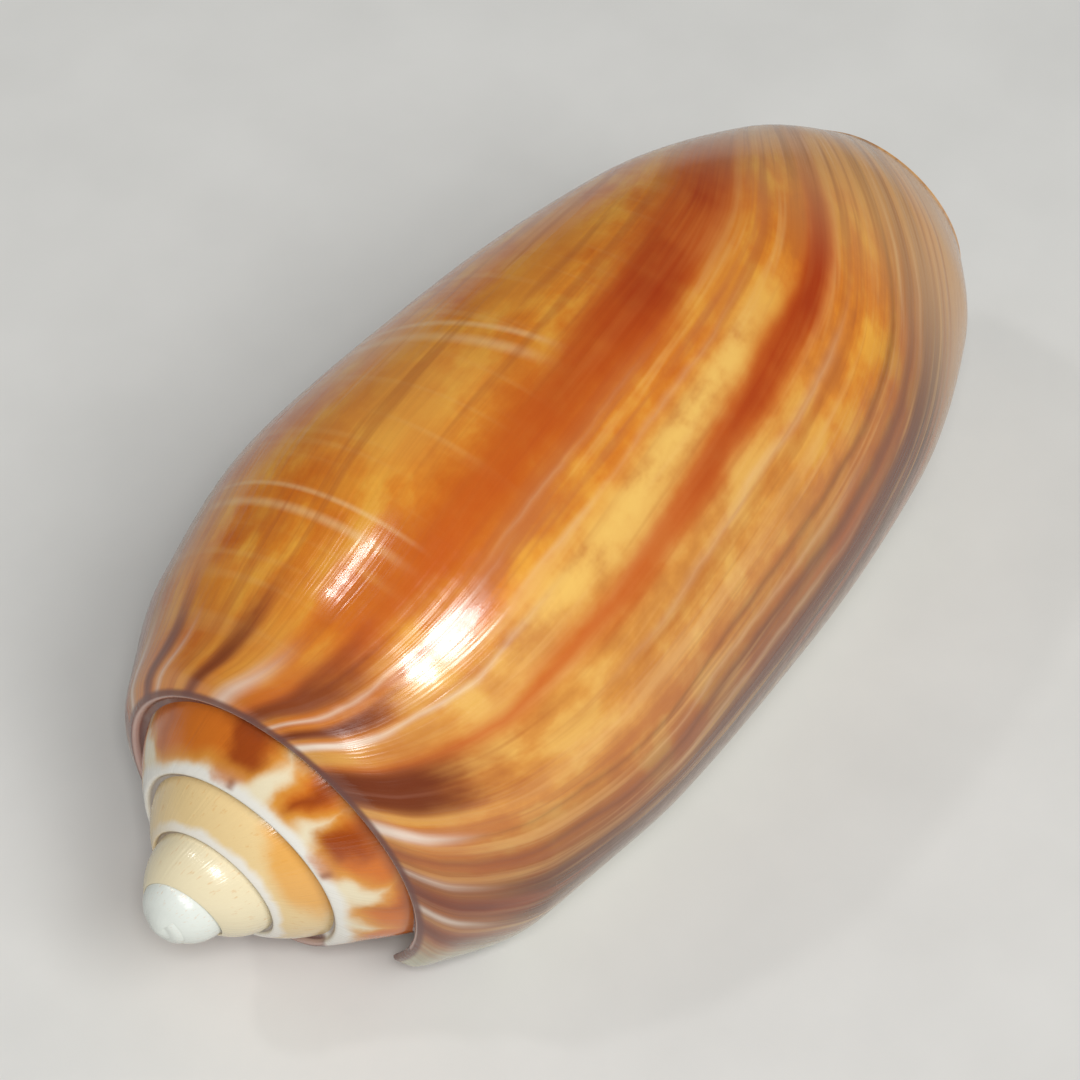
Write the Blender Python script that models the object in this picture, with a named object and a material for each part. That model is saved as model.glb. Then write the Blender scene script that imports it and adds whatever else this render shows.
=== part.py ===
"""An olive shell lying on its aperture, as one closed faceted solid.

The shell grew by coiling round the X axis, which runs from the tip of the spire to the front end.
A place on it has a growth angle, which turns clockwise as seen from the spire. Angle 0 is the top of
the back, 90 is the side of the outer lip (-Y) and 180 is underneath. One turn less is one whorl
further in. Across a whorl, row 0 is its shoulder rim, the suture row is where the next whorl covers
it, and the last row is the front end.
"""

import math

import bmesh
import bpy
from mathutils import Vector

# Sizes, in metres.
SHELL_LENGTH = 0.0606
SPIRE_HEIGHT = 0.0088
DOME_RADIUS = 0.00275
DOME_BLEND = 0.0004
RIM_RADIUS = 0.0103
RIM_WIDTH = 0.00034
CHANNEL_DEPTH = 0.00038
BACK_NOTCH_DEPTH = 0.0022
WALL = 0.0015
FRONT_WALL = 0.0011
AXIS_ABOVE_TABLE = 0.0092
EDGE_ROUNDING = 0.00045
FRONT_EDGE_SHORT_BY = 0.0011
FASCIOLE_SHORT_BY = 0.0018
SIPHON_NOTCH_DEPTH = 0.0045
SEAT_BLEND = 0.0050
MERGE = 2e-6

# Growth angles, in degrees.
TURN = 360
LIP = 129
BODY_START = LIP - TURN
CAVITY_END = -96
SPIRE_WHORLS = 3.25
BACK_NOTCH_SPAN = 24
HIDDEN_BLEND = 120
SIPHON_NOTCH_AT = -62
SIPHON_NOTCH_HALF_SPAN = 40
FASCIOLE_AT = -163
FASCIOLE_HALF_SPAN = 70
LOWEST_LIP = 140
FRONT_OF_LIP = 118
LIP_BEND = 2
DEEP_END_ROUNDING = 10
SHARP_EDGE = 50

# How the coil grows: the rim shrinks by a little more with each whorl inwards, and the girth evenly.
RIM_SHRINK = 0.360
RIM_SHRINK_GAIN = 0.034
GIRTH_GROWTH = 1.306
COLUMELLA_TAPER = 0.30
SPIRE_LIFT = 0.072
LIFT_FADE = 0.14
CONE_POWER = 0.85
DOME_POWER = 2.6
END_POWER = 1.8

# The rim and its channel: their size against the rim's radius, and how they fade out near the tip.
RIM_SIZE = 1.25
FAINT_RIM = 0.15
FAINT_BELOW = 0.16
FAINT_OVER = 0.12
RIM_ABOVE_CHANNEL = 0.2

# The body whorl's section: fuller on the back than underneath, and a little skewed. Swellings start at
# the rim, and reach their full size at this share of the length.
BACK_SWELLING = 0.171
SIDE_SWELLING = 0.013
SKEW = 0.021
FLATTENING = 0.015
SWELLING_REACH = 0.25
RIM_REACH = 0.12

# The outer lip, by shares of the way from the suture to the front end: where it has come down to the
# table, and where it starts to be drawn back.
LIP_DOWN_AT = 0.25
LIP_BACK_FROM = 0.6

# Half girth of the body whorl against the share of the way from its rim to the front end.
GIRTH = (
    (0.000, 0.01030),
    (0.010, 0.01120),
    (0.035, 0.01200),
    (0.120, 0.01412),
    (0.300, 0.01546),
    (0.520, 0.01490),
    (0.740, 0.01320),
    (0.900, 0.00988),
    (0.970, 0.00700),
    (1.000, 0.00530),
)

# The whorl inside the aperture and its columella, in the same way.
COLUMELLA = (
    (0.000, 0.00980),
    (0.150, 0.00995),
    (0.300, 0.00950),
    (0.450, 0.00880),
    (0.600, 0.00770),
    (0.740, 0.00610),
    (0.850, 0.00430),
    (0.930, 0.00300),
    (1.000, 0.00200),
)

STEPS_PER_TURN = 48
SUTURE_ROW = 5
STRIP_SHARES = (0.0, 0.07, 0.30, 0.60, 0.85, 1.0)
BODY_STRIP_SHARE = 0.053
STRIP_BULGE = 0.05
TIP_STRIP_BULGE = 0.12
LONG_ROWS = 22
ROW_CROWDING = 0.4
FRONT_ROW = SUTURE_ROW + LONG_ROWS
FIRST_INNER_ROW = SUTURE_ROW + 1
INNER_ROWS = LONG_ROWS - 1
CAVITY_STEPS = round((LIP - CAVITY_END) / TURN * STEPS_PER_TURN)
SOLID_STEPS = STEPS_PER_TURN - CAVITY_STEPS
SPIRE_STEPS = round(SPIRE_WHORLS * STEPS_PER_TURN)
SPIRE_START = BODY_START - SPIRE_WHORLS * TURN
LIP_ROUNDS = 3
OPEN_NOTCH_STEPS = 2
THINNING_ROWS = 5
DEEP_END_ROWS = 3
TIP_RINGS = 4
FRONT_RINGS = 2


def smooth(share):
    """0 below 0, 1 above 1, and an even S between them."""
    share = min(max(share, 0.0), 1.0)
    return share * share * (3 - 2 * share)


def mix(a, b, share):
    return a + (b - a) * share


def curve_through(points, x):
    """The height at x of a smooth curve through the points, which never swings past them."""
    if x >= points[-1][0]:
        return points[-1][1]
    slopes = [(b[1] - a[1]) / (b[0] - a[0]) for a, b in zip(points, points[1:])]

    def tangent(n):
        if n in (0, len(slopes)):
            return slopes[min(n, len(slopes) - 1)]
        before, after = slopes[n - 1], slopes[n]
        return 2 * before * after / (before + after) if before * after > 0 else 0.0

    i = next(n for n in range(len(slopes)) if x <= points[n + 1][0])
    width = points[i + 1][0] - points[i][0]
    t = max(x - points[i][0], 0.0) / width
    rise = points[i + 1][1] - points[i][1]
    start, end = tangent(i) * width, tangent(i + 1) * width
    bend = (3 * rise - 2 * start - end) * t**2 + (start + end - 2 * rise) * t**3
    return points[i][1] + start * t + bend


def rim_radius(angle):
    whorls = (LIP - angle) / TURN
    return RIM_RADIUS * math.exp(-RIM_SHRINK * whorls - RIM_SHRINK_GAIN * whorls**2)


def rim_x(angle):
    """The rims lie on a cone with swollen sides, which ends in a dome at the tip."""
    out = rim_radius(angle)
    cone_height = SPIRE_HEIGHT - DOME_BLEND / 2
    cone = cone_height * (out / RIM_RADIUS) ** CONE_POWER
    dome = cone_height * (DOME_RADIUS / RIM_RADIUS) ** CONE_POWER * (out / DOME_RADIUS) ** DOME_POWER
    return (cone + dome - math.hypot(cone - dome, DOME_BLEND) + DOME_BLEND) / 2


def rim_scale(angle):
    """How big the rim and its channel are on this whorl, against those at the lip."""
    size = rim_radius(angle) / RIM_RADIUS
    return min(1.0, RIM_SIZE * size) * mix(FAINT_RIM, 1.0, smooth((size - FAINT_BELOW) / FAINT_OVER))


def suture(angle):
    """The bottom of the channel inside the rim, as x and radius. Near the lip it opens into a notch."""
    depth = CHANNEL_DEPTH * rim_scale(angle)
    width = RIM_WIDTH * rim_scale(angle)
    notch = BACK_NOTCH_DEPTH * smooth(1 - (LIP - angle) / BACK_NOTCH_SPAN)
    return rim_x(angle) + depth + notch, rim_radius(angle) - width - depth


def front_x(angle):
    """Where the wall ends in front, with the siphon's notch on the left of the back."""
    notch = smooth(1 - abs(angle - SIPHON_NOTCH_AT) / SIPHON_NOTCH_HALF_SPAN)
    fasciole = smooth(1 - abs(angle - FASCIOLE_AT) / FASCIOLE_HALF_SPAN)
    short_by = FRONT_EDGE_SHORT_BY + SIPHON_NOTCH_DEPTH * notch + FASCIOLE_SHORT_BY * fasciole
    return SHELL_LENGTH - short_by


def body_radius(angle, share):
    """The radius of the body whorl, whose section is taller than it is deep."""
    a = math.radians(angle)
    growth = GIRTH_GROWTH ** ((angle - LIP) / TURN)
    swelling = BACK_SWELLING * math.cos(a) - SIDE_SWELLING * math.sin(a)
    swelling += SKEW * math.sin(2 * a) - FLATTENING * math.cos(2 * a)
    radius = curve_through(GIRTH, share) * growth * (1 + swelling * smooth(share / SWELLING_REACH))
    to_rim = rim_radius(angle) - RIM_RADIUS * growth
    return radius + to_rim * max(0.0, 1 - share / RIM_REACH) ** 2


def strip_place(angle, along):
    """x and radius on the part of a whorl that shows on the spire, from its rim to its suture."""
    x0, r0 = rim_x(angle), rim_radius(angle)
    on_spire = min(angle, BODY_START)
    x1, r1 = suture(on_spire + TURN)
    x1 += x0 - rim_x(on_spire)
    r1 += r0 - rim_radius(on_spire)
    swelling = mix(TIP_STRIP_BULGE, STRIP_BULGE, smooth(2 * rim_radius(angle) / RIM_RADIUS))
    bulge = 4 * swelling * along * (1 - along)
    return mix(x0, x1, along) - bulge * (r1 - r0), mix(r0, r1, along) + bulge * (x1 - x0)


def row_share(row):
    """How far this row is from the suture to the front end. The rows lie closer near the front."""
    ahead = (row - SUTURE_ROW) / LONG_ROWS
    return ahead + ROW_CROWDING * ahead * (1 - ahead) * ahead


def whorl_point(angle, row):
    """The outer face of a whorl: the hidden wall of the last one grows out into the body whorl."""
    opened = smooth((angle - BODY_START) / HIDDEN_BLEND)
    x0 = rim_x(angle)
    length = SHELL_LENGTH - x0
    suture_x, seat = strip_place(angle, 1.0)
    if row <= SUTURE_ROW:
        along = STRIP_SHARES[row]
        x, hidden = strip_place(angle, along)
        x = mix(x, x0 + along * BODY_STRIP_SHARE * length, opened)
    else:
        suture_x = mix(suture_x, x0 + BODY_STRIP_SHARE * length, opened)
        x = mix(suture_x, front_x(angle), row_share(row))
        taper = 1 - COLUMELLA_TAPER * max(0.0, BODY_START - angle) / TURN
        inner = taper * curve_through(COLUMELLA, (x - x0) / length)
        hidden = mix(seat, inner, smooth((x - suture_x) / SEAT_BLEND))
    share = (x - x0) / length
    radius = mix(hidden, body_radius(angle, share), opened)
    lifted = min(radius, rim_radius(angle + TURN * (1 - opened)))
    return coil_point(angle, x, radius, SPIRE_LIFT * lifted * (1 - smooth(share / LIFT_FADE)))


def coil_point(angle, x, radius, lift):
    """A point at this angle round the axis. What would lie below the table is flat on it."""
    a = math.radians(angle)
    z = radius * math.cos(a) + lift
    return Vector((x, -radius * math.sin(a), max(z, -AXIS_ABOVE_TABLE)))


def lip_angle(row):
    """Where the outer lip ends: it comes down to the table, and is drawn back at the front."""
    if row <= SUTURE_ROW:
        return LIP
    low = LIP
    for _ in range(LIP_ROUNDS):
        at_lip = whorl_point(low, row)
        reach = AXIS_ABOVE_TABLE / math.hypot(at_lip.y, at_lip.z)
        on_table = 180 - math.degrees(math.acos(min(reach, 1.0)))
        low = (on_table + LOWEST_LIP - math.hypot(on_table - LOWEST_LIP, LIP_BEND)) / 2
    ahead = row_share(row)
    down = mix(LIP, low, smooth(ahead / LIP_DOWN_AT))
    return mix(down, FRONT_OF_LIP, smooth((ahead - LIP_BACK_FROM) / (1 - LIP_BACK_FROM)))


def body_point(step, row):
    """The body whorl's outer face: step 0 is under the lip, and the last step is the lip."""
    return whorl_point(mix(BODY_START, lip_angle(row), step / STEPS_PER_TURN), row)


def inner_point(step, row):
    """The inside of the body whorl's wall."""
    here = body_point(step, row)
    along = body_point(min(step + 1, STEPS_PER_TURN), row) - body_point(step - 1, row)
    across = body_point(step, min(row + 1, FRONT_ROW)) - body_point(step, row - 1)
    to_front = smooth((row - FRONT_ROW + THINNING_ROWS) / THINNING_ROWS)
    return here - along.cross(across).normalized() * mix(WALL, FRONT_WALL, to_front)


def columella_point(step, row):
    """The whorl inside the aperture, right behind the same step of the body whorl."""
    return whorl_point(mix(BODY_START, LIP, step / STEPS_PER_TURN) - TURN, row)


def ceiling_point(step, share):
    """The back end of the cavity, where the wall meets the whorl inside it."""
    row = FIRST_INNER_ROW
    return columella_point(step, row).lerp(inner_point(step, row), share)


def deep_point(row):
    """The middle of the rounded end of the cavity, one row at a time."""
    wall, columella = inner_point(SOLID_STEPS, row), columella_point(SOLID_STEPS, row)
    middle = wall.lerp(columella, 0.5)
    turn = math.radians(DEEP_END_ROUNDING) * smooth((row - FIRST_INNER_ROW) / DEEP_END_ROWS)
    y = middle.y * math.cos(turn) + middle.z * math.sin(turn)
    z = middle.z * math.cos(turn) - middle.y * math.sin(turn)
    return Vector((middle.x, y, z))


def edge_point(step, row):
    """The crest of the wall's free edge, along the lip and round the front."""
    wall = body_point(step, row)
    crest = wall.lerp(inner_point(step, row), 0.5)
    if step == STEPS_PER_TURN:
        crest += (wall - body_point(step - 1, row)).normalized() * EDGE_ROUNDING
    if row == FRONT_ROW:
        crest.x += EDGE_ROUNDING
    crest.z = max(crest.z, -AXIS_ABOVE_TABLE)
    return crest


def rim_inside(angle):
    """The inner edge of the rim, over the channel."""
    x = rim_x(angle) + RIM_ABOVE_CHANNEL * CHANNEL_DEPTH * rim_scale(angle)
    radius = rim_radius(angle) - RIM_WIDTH * rim_scale(angle)
    return coil_point(angle, x, radius, SPIRE_LIFT * radius)


def patch(bm, steps, rows, place):
    """A grid of faces, each of its points put where place says by step and row."""
    grid = bmesh.ops.create_grid(bm, x_segments=steps, y_segments=rows, size=1.0)
    for vertex in grid["verts"]:
        step = round((vertex.co.x + 1) / 2 * steps)
        row = round((vertex.co.y + 1) / 2 * rows)
        vertex.co = place(step, row)


def cap(bm, loop, tip, rings, power):
    """Faces from a closed loop of points to a tip. A power of 1 gives a cone, and a higher one a dome."""

    def place(step, ring):
        edge = loop[step % len(loop)]
        out = 1 - ring / rings
        point = tip.lerp(edge, out)
        point.x = mix(tip.x, edge.x, out**power)
        return point

    patch(bm, len(loop), rings, place)


def outer_faces(bm):
    """The body whorl, and the strips of the older whorls that show on the spire."""
    patch(bm, STEPS_PER_TURN, FRONT_ROW, body_point)

    def spire_point(step, row):
        return whorl_point(mix(SPIRE_START, BODY_START, step / SPIRE_STEPS), row)

    patch(bm, SPIRE_STEPS, SUTURE_ROW, spire_point)


def channel_faces(bm):
    """The channel along the suture, from the apex to where it opens into the notch of the lip."""

    def place(step, row):
        angle = SPIRE_START + TURN + step / STEPS_PER_TURN * TURN
        if row == 0:
            return whorl_point(angle - TURN, SUTURE_ROW)
        return rim_inside(angle) if row == 1 else whorl_point(angle, 0)

    patch(bm, SPIRE_STEPS - OPEN_NOTCH_STEPS, 2, place)


def cavity_faces(bm):
    """The hollow of the last whorl: its wall, the whorl inside it, its back and its deep end."""

    def wall(step, row):
        return inner_point(SOLID_STEPS + step, FIRST_INNER_ROW + row)

    def columella(step, row):
        return columella_point(SOLID_STEPS + step, FIRST_INNER_ROW + row)

    def ceiling(step, row):
        return ceiling_point(SOLID_STEPS + step, row / 2)

    def deep_end(step, row):
        if step == 1:
            return deep_point(FIRST_INNER_ROW + row)
        return wall(0, row) if step == 0 else columella(0, row)

    patch(bm, CAVITY_STEPS, INNER_ROWS, wall)
    patch(bm, CAVITY_STEPS, INNER_ROWS, columella)
    patch(bm, CAVITY_STEPS - OPEN_NOTCH_STEPS, 2, ceiling)
    patch(bm, 2, INNER_ROWS, deep_end)


def edge_faces(bm):
    """The rounded free edge of the wall, round the front and down the lip."""

    def across(step, row, side):
        if side == 1:
            return edge_point(step, row)
        return body_point(step, row) if side == 0 else inner_point(step, row)

    def front(step, side):
        return across(SOLID_STEPS + step, FRONT_ROW, side)

    def lip(row, side):
        return across(STEPS_PER_TURN, FIRST_INNER_ROW + row, side)

    patch(bm, CAVITY_STEPS, 2, front)
    patch(bm, INNER_ROWS, 2, lip)


def notch_faces(bm):
    """The notch at the back of the lip, where the rim stands free of the whorl inside it."""
    first = STEPS_PER_TURN - OPEN_NOTCH_STEPS
    step_angle = TURN / STEPS_PER_TURN

    def flange(step, row):
        angle = BODY_START + (first + step) * step_angle
        if row == 0:
            return inner_point(first + step, FIRST_INNER_ROW)
        return rim_inside(angle) if row == 1 else whorl_point(angle, 0)

    def floor(step, row):
        return columella_point(first + step, SUTURE_ROW + row)

    patch(bm, OPEN_NOTCH_STEPS, 2, flange)
    patch(bm, OPEN_NOTCH_STEPS, 1, floor)
    bridge = [
        rim_inside(BODY_START + first * step_angle),
        columella_point(first, SUTURE_ROW),
        columella_point(first, FIRST_INNER_ROW),
        ceiling_point(first, 0.5),
        inner_point(first, FIRST_INNER_ROW),
    ]
    end = [body_point(STEPS_PER_TURN, row) for row in range(FIRST_INNER_ROW + 1)]
    end.append(edge_point(STEPS_PER_TURN, FIRST_INNER_ROW))
    end.append(inner_point(STEPS_PER_TURN, FIRST_INNER_ROW))
    end.append(rim_inside(LIP))
    for loop in (bridge, end):
        middle = sum(loop, Vector((0.0, 0.0, 0.0))) / len(loop)
        cap(bm, loop, middle, 1, 1)


def end_caps(bm):
    """The blunt tip of the spire, and the end of the columella in front."""
    spire = [
        whorl_point(SPIRE_START + step / STEPS_PER_TURN * TURN, 0)
        for step in range(STEPS_PER_TURN + 1)
    ]
    spire.append(rim_inside(SPIRE_START + TURN))
    spire += [whorl_point(SPIRE_START, row) for row in range(SUTURE_ROW, 0, -1)]
    cap(bm, spire, Vector((0.0, 0.0, 0.0)), TIP_RINGS, END_POWER)
    front = [body_point(step, FRONT_ROW) for step in range(SOLID_STEPS + 1)]
    front.append(edge_point(SOLID_STEPS, FRONT_ROW))
    front.append(inner_point(SOLID_STEPS, FRONT_ROW))
    front.append(deep_point(FRONT_ROW))
    front += [columella_point(step, FRONT_ROW) for step in range(SOLID_STEPS, STEPS_PER_TURN)]
    cap(bm, front, Vector((SHELL_LENGTH, 0.0, 0.0)), FRONT_RINGS, END_POWER)


def shell_material():
    material = bpy.data.materials.new("glossy_shell")
    material.use_nodes = True
    surface = material.node_tree.nodes["Principled BSDF"]
    surface.inputs["Base Color"].default_value = (0.62, 0.22, 0.045, 1.0)
    surface.inputs["Roughness"].default_value = 0.16
    surface.inputs["Metallic"].default_value = 0.0
    return material


def clear_scene():
    for obj in list(bpy.data.objects):
        bpy.data.objects.remove(obj, do_unlink=True)


def add_shell(collection):
    """All the faces joined into one closed skin, with the middle of its footprint at the origin."""
    bm = bmesh.new()
    for add_faces in (outer_faces, channel_faces, cavity_faces, edge_faces, notch_faces, end_caps):
        add_faces(bm)
    bmesh.ops.remove_doubles(bm, verts=bm.verts, dist=MERGE)
    bmesh.ops.recalc_face_normals(bm, faces=bm.faces)
    sides = [(min(v.co[k] for v in bm.verts), max(v.co[k] for v in bm.verts)) for k in (0, 1)]
    middle = [(low + high) / 2 for low, high in sides]
    bmesh.ops.translate(bm, verts=bm.verts, vec=(-middle[0], -middle[1], AXIS_ABOVE_TABLE))
    bmesh.ops.triangulate(bm, faces=bm.faces)
    mesh = bpy.data.meshes.new("shell")
    bm.to_mesh(mesh)
    bm.free()
    mesh.shade_smooth()
    mesh.set_sharp_from_angle(angle=math.radians(SHARP_EDGE))
    mesh.materials.append(shell_material())
    shell = bpy.data.objects.new("shell", mesh)
    collection.objects.link(shell)


def main():
    clear_scene()
    collection = bpy.data.collections.new("olive_shell")
    bpy.context.scene.collection.children.link(collection)
    add_shell(collection)


main()
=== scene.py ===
"""An olive shell on a pale floor: its enamel, its markings and the light it is seen in."""

import math

import bpy
import numpy as np
from mathutils import Matrix, Vector


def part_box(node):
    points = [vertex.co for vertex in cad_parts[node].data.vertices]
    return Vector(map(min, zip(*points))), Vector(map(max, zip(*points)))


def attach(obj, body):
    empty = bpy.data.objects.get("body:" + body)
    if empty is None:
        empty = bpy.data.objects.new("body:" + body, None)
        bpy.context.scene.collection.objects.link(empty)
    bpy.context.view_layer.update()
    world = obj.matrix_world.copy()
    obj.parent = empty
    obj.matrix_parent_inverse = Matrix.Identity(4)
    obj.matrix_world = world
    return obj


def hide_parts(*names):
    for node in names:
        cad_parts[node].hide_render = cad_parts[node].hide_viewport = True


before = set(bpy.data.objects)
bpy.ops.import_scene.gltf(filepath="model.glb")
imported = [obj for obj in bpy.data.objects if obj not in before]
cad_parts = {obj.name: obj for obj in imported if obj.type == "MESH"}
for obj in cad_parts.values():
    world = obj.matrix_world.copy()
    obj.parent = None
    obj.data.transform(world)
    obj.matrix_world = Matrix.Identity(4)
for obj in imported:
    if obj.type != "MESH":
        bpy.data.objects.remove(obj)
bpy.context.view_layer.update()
bpy.ops.object.select_all(action="DESELECT")

# The shell: one piece of aragonite, laid down by the snail along the edge of its lip while the lip
# travelled round the X axis, which runs from the tip of the spire to the front end. A place on it has
# a growth angle: 0 is the top of the back, 90 the side of the lip, and one turn less a whorl further in.
SHELL_LENGTH = 0.0606
AXIS_ABOVE_TABLE = 0.0092
TURN = 360.0
LIP = 129.0
BODY_START = LIP - TURN
SPIRE_WHORLS = 4.25
SPIRE_START = BODY_START - SPIRE_WHORLS * TURN

# The rims of the whorls and the channel inside them, and how both fade out near the tip.
SPIRE_HEIGHT = 0.0088
CONE_POWER = 0.85
DOME_RADIUS = 0.00275
DOME_POWER = 2.6
DOME_BLEND = 0.0004
RIM_RADIUS = 0.0103
RIM_SHRINK = 0.360
RIM_SHRINK_GAIN = 0.034
RIM_WIDTH = 0.00034
CHANNEL_DEPTH = 0.00038
RIM_SIZE = 1.25
FAINT_RIM = 0.15
FAINT_BELOW = 0.16
FAINT_OVER = 0.12
BACK_NOTCH_DEPTH = 0.0022
BACK_NOTCH_SPAN = 24.0
SPIRE_LIFT = 0.072
LIFT_FADE = 0.14
STRIP_BULGE = 0.05
TIP_STRIP_BULGE = 0.12

# The front edge of the wall, with the siphon's notch and the band beside it.
FRONT_EDGE_SHORT_BY = 0.0011
SIPHON_NOTCH_DEPTH = 0.0045
SIPHON_NOTCH_AT = -62.0
SIPHON_NOTCH_HALF_SPAN = 40.0
FASCIOLE_SHORT_BY = 0.0018
FASCIOLE_AT = -163.0
FASCIOLE_HALF_SPAN = 70.0

# The body whorl's section: fuller on the back than underneath, and a little skewed. Swellings start at
# the rim, and reach their full size at this share of the length.
BACK_SWELLING = 0.171
SIDE_SWELLING = 0.013
SKEW = 0.021
FLATTENING = 0.015
SWELLING_REACH = 0.25
RIM_REACH = 0.12

# Half girth of the body whorl, and of the whorl inside the aperture with its columella, each against
# the share of the way from the rim to the front end.
GIRTH_GROWTH = 1.306
GIRTH = (
    (0.000, 0.01030),
    (0.010, 0.01120),
    (0.035, 0.01200),
    (0.120, 0.01412),
    (0.300, 0.01546),
    (0.520, 0.01490),
    (0.740, 0.01320),
    (0.900, 0.00988),
    (0.970, 0.00700),
    (1.000, 0.00530),
)
COLUMELLA_TAPER = 0.30
COLUMELLA = (
    (0.000, 0.00980),
    (0.150, 0.00995),
    (0.300, 0.00950),
    (0.450, 0.00880),
    (0.600, 0.00770),
    (0.740, 0.00610),
    (0.850, 0.00430),
    (0.930, 0.00300),
    (1.000, 0.00200),
)
HIDDEN_BLEND = 120.0
SEAT_BLEND = 0.0050
BODY_STRIP_SHARE = 0.053
ROW_CROWDING = 0.4

# How far behind the lip's growth angle a growth line has fallen, in degrees, at shares of the length.
GROWTH_LINE = (
    (0.000, -17.0),
    (0.010, -12.0),
    (0.030, -6.0),
    (0.060, -2.2),
    (0.100, -0.5),
    (0.150, 0.0),
    (0.300, -3.0),
    (0.500, -8.0),
    (0.600, -11.5),
    (0.700, -17.5),
    (0.800, -32.0),
    (0.850, -43.0),
    (0.900, -58.0),
    (1.000, -100.0),
)


def smooth(share):
    """0 below 0, 1 above 1, and an even S between them."""
    share = np.clip(share, 0.0, 1.0)
    return share * share * (3 - 2 * share)


def mix(a, b, share):
    return a + (b - a) * share


def curve_through(points, x):
    """The height at x of a smooth curve through the points, which never swings past them."""
    at, height = np.array(points).T
    slope = np.diff(height) / np.diff(at)
    product = slope[:-1] * slope[1:]
    total = np.where(product > 0, slope[:-1] + slope[1:], 1.0)
    inner = np.where(product > 0, 2 * product / total, 0.0)
    tangent = np.concatenate((slope[:1], inner, slope[-1:]))
    x = np.clip(x, at[0], at[-1])
    i = np.clip(np.searchsorted(at, x, side="left") - 1, 0, len(slope) - 1)
    width = at[i + 1] - at[i]
    t = (x - at[i]) / width
    rise = height[i + 1] - height[i]
    start, end = tangent[i] * width, tangent[i + 1] * width
    return height[i] + start * t + (3 * rise - 2 * start - end) * t**2 + (start + end - 2 * rise) * t**3


def rim_radius(angle):
    whorls = (LIP - angle) / TURN
    return RIM_RADIUS * np.exp(-RIM_SHRINK * whorls - RIM_SHRINK_GAIN * whorls**2)


def rim_x(angle):
    """The rims lie on a cone with swollen sides, which ends in a dome at the tip."""
    out = rim_radius(angle)
    cone_height = SPIRE_HEIGHT - DOME_BLEND / 2
    cone = cone_height * (out / RIM_RADIUS) ** CONE_POWER
    dome = cone_height * (DOME_RADIUS / RIM_RADIUS) ** CONE_POWER * (out / DOME_RADIUS) ** DOME_POWER
    return (cone + dome - np.hypot(cone - dome, DOME_BLEND) + DOME_BLEND) / 2


def rim_scale(angle):
    """How big the rim and its channel are on this whorl. They fade out near the tip of the spire."""
    size = rim_radius(angle) / RIM_RADIUS
    return np.minimum(1.0, RIM_SIZE * size) * mix(FAINT_RIM, 1.0, smooth((size - FAINT_BELOW) / FAINT_OVER))


def suture(angle):
    """The bottom of the channel inside the rim, as x and radius. Near the lip it opens into a notch."""
    depth = CHANNEL_DEPTH * rim_scale(angle)
    notch = BACK_NOTCH_DEPTH * smooth(1 - (LIP - angle) / BACK_NOTCH_SPAN)
    return rim_x(angle) + depth + notch, rim_radius(angle) - RIM_WIDTH * rim_scale(angle) - depth


def front_x(angle):
    notch = smooth(1 - np.abs(angle - SIPHON_NOTCH_AT) / SIPHON_NOTCH_HALF_SPAN)
    fasciole = smooth(1 - np.abs(angle - FASCIOLE_AT) / FASCIOLE_HALF_SPAN)
    return SHELL_LENGTH - FRONT_EDGE_SHORT_BY - SIPHON_NOTCH_DEPTH * notch - FASCIOLE_SHORT_BY * fasciole


def body_radius(angle, share):
    """The radius of the body whorl, whose section is taller than it is deep."""
    a = np.radians(angle)
    growth = GIRTH_GROWTH ** ((angle - LIP) / TURN)
    swelling = BACK_SWELLING * np.cos(a) - SIDE_SWELLING * np.sin(a)
    swelling = swelling + SKEW * np.sin(2 * a) - FLATTENING * np.cos(2 * a)
    radius = curve_through(GIRTH, share) * growth * (1 + swelling * smooth(share / SWELLING_REACH))
    to_rim = rim_radius(angle) - RIM_RADIUS * growth
    return radius + to_rim * np.maximum(0.0, 1 - share / RIM_REACH) ** 2


def strip_place(angle, along):
    """x and radius on the part of a whorl that shows on the spire, from its rim to its suture."""
    x0, r0 = rim_x(angle), rim_radius(angle)
    on_spire = np.minimum(angle, BODY_START)
    x1, r1 = suture(on_spire + TURN)
    x1 = x1 + x0 - rim_x(on_spire)
    r1 = r1 + r0 - rim_radius(on_spire)
    swelling = mix(TIP_STRIP_BULGE, STRIP_BULGE, smooth(2 * rim_radius(angle) / RIM_RADIUS))
    bulge = 4 * swelling * along * (1 - along)
    return mix(x0, x1, along) - bulge * (r1 - r0), mix(r0, r1, along) + bulge * (x1 - x0)


def row_share(ahead):
    """Sets the rows closer together towards the front."""
    return ahead + ROW_CROWDING * ahead * (1 - ahead) * ahead


# The folds of the inner lip: a few strong oblique ones in front and fine ones behind, and in front of
# them the band that the siphon's notch leaves as it grows.
FOLD_HEIGHT = 0.00016
FRONT_FOLD_HEIGHT = 0.00034
FOLD_SPACING = 0.0019
FOLD_SLANT = 0.0060
FOLD_SHARPNESS = 1.6
STRONG_FROM, STRONG_OVER = 0.55, 0.20
BAND_HEIGHT = 0.00018
BAND_EDGE, BAND_EDGE_GAIN, BAND_EDGE_OVER = 0.74, 0.19, 175.0
BAND_STEP = 0.012

# Where the folds and the band rise and fall: in degrees from the inner lip, or in shares of the length.
FOLDS_RISE = (-75.0, 45.0)
FOLDS_FALL = (8.0, 26.0)
FOLDS_RISE_ALONG = (0.13, 0.12)
FOLDS_FALL_ALONG = (0.93, 0.06)
BAND_RISE = (10.0, 30.0)
BAND_FALL = (150.0, 30.0)


def rise(value, start_and_width):
    start, width = start_and_width
    return smooth((value - start) / width)


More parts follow.
